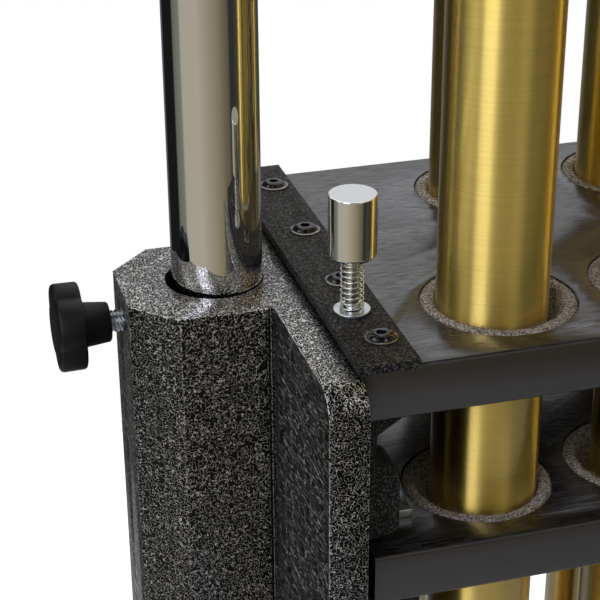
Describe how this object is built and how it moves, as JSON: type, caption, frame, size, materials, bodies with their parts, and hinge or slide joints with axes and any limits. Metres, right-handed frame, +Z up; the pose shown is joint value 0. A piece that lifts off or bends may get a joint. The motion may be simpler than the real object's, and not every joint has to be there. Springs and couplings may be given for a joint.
{
  "type": "tubular bells",
  "caption": "Orchestral tubular bells: brass tubes hung in two rows through felt-lined damper boards, on a height-adjustable cast stand with castors, damper pedal and lock plunger.",
  "frame": {"origin": "on the floor in the middle of the stand, under the middle of the boards", "axes": "+X along the rows from low to high notes, -Y towards the player, +Z up"},
  "size_m": [0.9086, 0.615, 1.8582],
  "materials": {
    "hammered_paint": "glossy hammered enamel",
    "stained_wood": "black stain, open grain, satin",
    "felt": "pressed wool felt",
    "black_steel": "fine wrinkle paint",
    "black_oxide": "black oxide, oiled",
    "zinc": "bright zinc plate",
    "chrome": "mirror chrome",
    "spring_steel": "bright nickel",
    "black_plastic": "moulded, satin",
    "wheel_rubber": "matt rubber",
    "brass": "brushed round the tube, lacquered"
  },
  "bodies": {
    "stand": {"tower_left": "hammered_paint", "tower_right": "hammered_paint", "foot_left": "hammered_paint", "foot_right": "hammered_paint", "cross_beam": "hammered_paint", "damper_rail": "hammered_paint", "upper_board": "stained_wood", "upper_felts": "felt", "end_strips": "black_steel", "board_screws": "black_oxide", "board_guides": "hammered_paint", "plunger_washer": "zinc", "return_spring": "spring_steel", "plunger_spring": "spring_steel"},
    "head": {"posts": "chrome", "head_castings": "hammered_paint", "front_rail": "hammered_paint", "rear_rail": "hammered_paint", "bell_hooks": "zinc"},
    "clamp_left": {"clamp_knob_left": "black_plastic", "clamp_stud_left": "zinc"},
    "clamp_right": {"clamp_knob_right": "black_plastic", "clamp_stud_right": "zinc"},
    "damper": {"lower_board": "stained_wood", "lower_felts": "felt", "latch_plate": "zinc", "drive_lug": "zinc"},
    "crank": {"bell_crank": "zinc"},
    "rod": {"pedal_rod": "zinc"},
    "pedal": {"pedal": "hammered_paint"},
    "plunger": {"plunger": "chrome"},
    "castor_fl": {"castor_fork_fl": "zinc"},
    "wheel_fl": {"castor_wheel_fl": "wheel_rubber"},
    "brake_fl": {"castor_brake_fl": "black_plastic"},
    "castor_fr": {"castor_fork_fr": "zinc"},
    "wheel_fr": {"castor_wheel_fr": "wheel_rubber"},
    "brake_fr": {"castor_brake_fr": "black_plastic"},
    "castor_rl": {"castor_fork_rl": "zinc"},
    "wheel_rl": {"castor_wheel_rl": "wheel_rubber"},
    "castor_rr": {"castor_fork_rr": "zinc"},
    "wheel_rr": {"castor_wheel_rr": "wheel_rubber"},
    "bell_c5": {"bell_c5": "brass"},
    "bell_cs5": {"bell_cs5": "brass"},
    "bell_d5": {"bell_d5": "brass"},
    "bell_ds5": {"bell_ds5": "brass"},
    "bell_e5": {"bell_e5": "brass"},
    "bell_f5": {"bell_f5": "brass"},
    "bell_fs5": {"bell_fs5": "brass"},
    "bell_g5": {"bell_g5": "brass"},
    "bell_gs5": {"bell_gs5": "brass"},
    "bell_a5": {"bell_a5": "brass"},
    "bell_as5": {"bell_as5": "brass"},
    "bell_b5": {"bell_b5": "brass"},
    "bell_c6": {"bell_c6": "brass"},
    "bell_cs6": {"bell_cs6": "brass"},
    "bell_d6": {"bell_d6": "brass"},
    "bell_ds6": {"bell_ds6": "brass"},
    "bell_e6": {"bell_e6": "brass"},
    "bell_f6": {"bell_f6": "brass"}
  },
  "joints": [
    {"name": "height_slide", "type": "slide", "parent": "stand", "child": "head", "axis": [0, 0, 1], "range_m": [0, 0.08]},
    {"name": "clamp_turn_left", "type": "hinge", "parent": "stand", "child": "clamp_left", "pos_m": [-0.4307, 0, 0.9369], "axis": [-1, 0, 0], "range_deg": [0, 360]},
    {"name": "clamp_turn_right", "type": "hinge", "parent": "stand", "child": "clamp_right", "pos_m": [0.4307, 0, 0.9369], "axis": [1, 0, 0], "range_deg": [0, 360]},
    {"name": "damper_slide", "type": "slide", "parent": "stand", "child": "damper", "axis": [1, 0, 0], "range_m": [0, 0.0049], "stiffness_N_per_m": 5000, "springref_m": -0.012},
    {"name": "crank_turn", "type": "hinge", "parent": "stand", "child": "crank", "pos_m": [-0.05, 0, 0.82], "axis": [0, 1, 0], "range_deg": [0, 9.4]},
    {"name": "rod_slide", "type": "slide", "parent": "stand", "child": "rod", "axis": [0, 0, 1], "range_m": [-0.0082, 0], "deforming": ["return_spring"]},
    {"name": "pedal_press", "type": "hinge", "parent": "stand", "child": "pedal", "pos_m": [0, 0.11, 0.075], "axis": [1, 0, 0], "range_deg": [0, 4.3]},
    {"name": "plunger_press", "type": "slide", "parent": "stand", "child": "plunger", "axis": [0, 0, 1], "range_m": [-0.009, 0], "stiffness_N_per_m": 400, "springref_m": 0.01, "deforming": ["plunger_spring"]},
    {"name": "swivel_fl", "type": "hinge", "parent": "stand", "child": "castor_fl", "pos_m": [-0.4006, -0.245, 0.0957], "axis": [0, 0, 1], "continuous": true},
    {"name": "roll_fl", "type": "hinge", "parent": "castor_fl", "child": "wheel_fl", "pos_m": [-0.4006, -0.27, 0.0375], "axis": [1, 0, 0], "continuous": true},
    {"name": "brake_press_fl", "type": "hinge", "parent": "castor_fl", "child": "brake_fl", "pos_m": [-0.4006, -0.278, 0.082], "axis": [1, 0, 0], "range_deg": [0, 12]},
    {"name": "swivel_fr", "type": "hinge", "parent": "stand", "child": "castor_fr", "pos_m": [0.4006, -0.245, 0.0957], "axis": [0, 0, 1], "continuous": true},
    {"name": "roll_fr", "type": "hinge", "parent": "castor_fr", "child": "wheel_fr", "pos_m": [0.4006, -0.27, 0.0375], "axis": [1, 0, 0], "continuous": true},
    {"name": "brake_press_fr", "type": "hinge", "parent": "castor_fr", "child": "brake_fr", "pos_m": [0.4006, -0.278, 0.082], "axis": [1, 0, 0], "range_deg": [0, 12]},
    {"name": "swivel_rl", "type": "hinge", "parent": "stand", "child": "castor_rl", "pos_m": [-0.4006, 0.245, 0.0957], "axis": [0, 0, 1], "continuous": true},
    {"name": "roll_rl", "type": "hinge", "parent": "castor_rl", "child": "wheel_rl", "pos_m": [-0.4006, 0.27, 0.0375], "axis": [1, 0, 0], "continuous": true},
    {"name": "swivel_rr", "type": "hinge", "parent": "stand", "child": "castor_rr", "pos_m": [0.4006, 0.245, 0.0957], "axis": [0, 0, 1], "continuous": true},
    {"name": "roll_rr", "type": "hinge", "parent": "castor_rr", "child": "wheel_rr", "pos_m": [0.4006, 0.27, 0.0375], "axis": [1, 0, 0], "continuous": true},
    {"name": "swing_c5", "type": "hinge", "parent": "head", "child": "bell_c5", "pos_m": [-0.31245, -0.0465, 1.7165], "axis": [1, 0, 0], "range_deg": [-0.05, 0.05]},
    {"name": "swing_cs5", "type": "hinge", "parent": "head", "child": "bell_cs5", "pos_m": [-0.28145, 0.0465, 1.7965], "axis": [1, 0, 0], "range_deg": [-0.05, 0.05]},
    {"name": "swing_d5", "type": "hinge", "parent": "head", "child": "bell_d5", "pos_m": [-0.25045, -0.0465, 1.7165], "axis": [1, 0, 0], "range_deg": [-0.05, 0.05]},
    {"name": "swing_ds5", "type": "hinge", "parent": "head", "child": "bell_ds5", "pos_m": [-0.21945, 0.0465, 1.7965], "axis": [1, 0, 0], "range_deg": [-0.05, 0.05]},
    {"name": "swing_e5", "type": "hinge", "parent": "head", "child": "bell_e5", "pos_m": [-0.18845, -0.0465, 1.7165], "axis": [1, 0, 0], "range_deg": [-0.05, 0.05]},
    {"name": "swing_f5", "type": "hinge", "parent": "head", "child": "bell_f5", "pos_m": [-0.12645, -0.0465, 1.7165], "axis": [1, 0, 0], "range_deg": [-0.05, 0.05]},
    {"name": "swing_fs5", "type": "hinge", "parent": "head", "child": "bell_fs5", "pos_m": [-0.09545, 0.0465, 1.7965], "axis": [1, 0, 0], "range_deg": [-0.05, 0.05]},
    {"name": "swing_g5", "type": "hinge", "parent": "head", "child": "bell_g5", "pos_m": [-0.06445, -0.0465, 1.7165], "axis": [1, 0, 0], "range_deg": [-0.05, 0.05]},
    {"name": "swing_gs5", "type": "hinge", "parent": "head", "child": "bell_gs5", "pos_m": [-0.03345, 0.0465, 1.7965], "axis": [1, 0, 0], "range_deg": [-0.05, 0.05]},
    {"name": "swing_a5", "type": "hinge", "parent": "head", "child": "bell_a5", "pos_m": [-0.00245, -0.0465, 1.7165], "axis": [1, 0, 0], "range_deg": [-0.05, 0.05]},
    {"name": "swing_as5", "type": "hinge", "parent": "head", "child": "bell_as5", "pos_m": [0.02855, 0.0465, 1.7965], "axis": [1, 0, 0], "range_deg": [-0.05, 0.05]},
    {"name": "swing_b5", "type": "hinge", "parent": "head", "child": "bell_b5", "pos_m": [0.05955, -0.0465, 1.7165], "axis": [1, 0, 0], "range_deg": [-0.05, 0.05]},
    {"name": "swing_c6", "type": "hinge", "parent": "head", "child": "bell_c6", "pos_m": [0.12155, -0.0465, 1.7165], "axis": [1, 0, 0], "range_deg": [-0.05, 0.05]},
    {"name": "swing_cs6", "type": "hinge", "parent": "head", "child": "bell_cs6", "pos_m": [0.15255, 0.0465, 1.7965], "axis": [1, 0, 0], "range_deg": [-0.05, 0.05]},
    {"name": "swing_d6", "type": "hinge", "parent": "head", "child": "bell_d6", "pos_m": [0.18355, -0.0465, 1.7165], "axis": [1, 0, 0], "range_deg": [-0.05, 0.05]},
    {"name": "swing_ds6", "type": "hinge", "parent": "head", "child": "bell_ds6", "pos_m": [0.21455, 0.0465, 1.7965], "axis": [1, 0, 0], "range_deg": [-0.05, 0.05]},
    {"name": "swing_e6", "type": "hinge", "parent": "head", "child": "bell_e6", "pos_m": [0.24555, -0.0465, 1.7165], "axis": [1, 0, 0], "range_deg": [-0.05, 0.05]},
    {"name": "swing_f6", "type": "hinge", "parent": "head", "child": "bell_f6", "pos_m": [0.30755, -0.0465, 1.7165], "axis": [1, 0, 0], "range_deg": [-0.05, 0.05]}
  ],
  "couplings": [
    {"joint": "crank_turn", "follows": "damper_slide", "rad_per_m": 33.333},
    {"joint": "rod_slide", "follows": "damper_slide", "ratio": -1.6667},
    {"joint": "pedal_press", "follows": "damper_slide", "rad_per_m": 15.152}
  ]
}
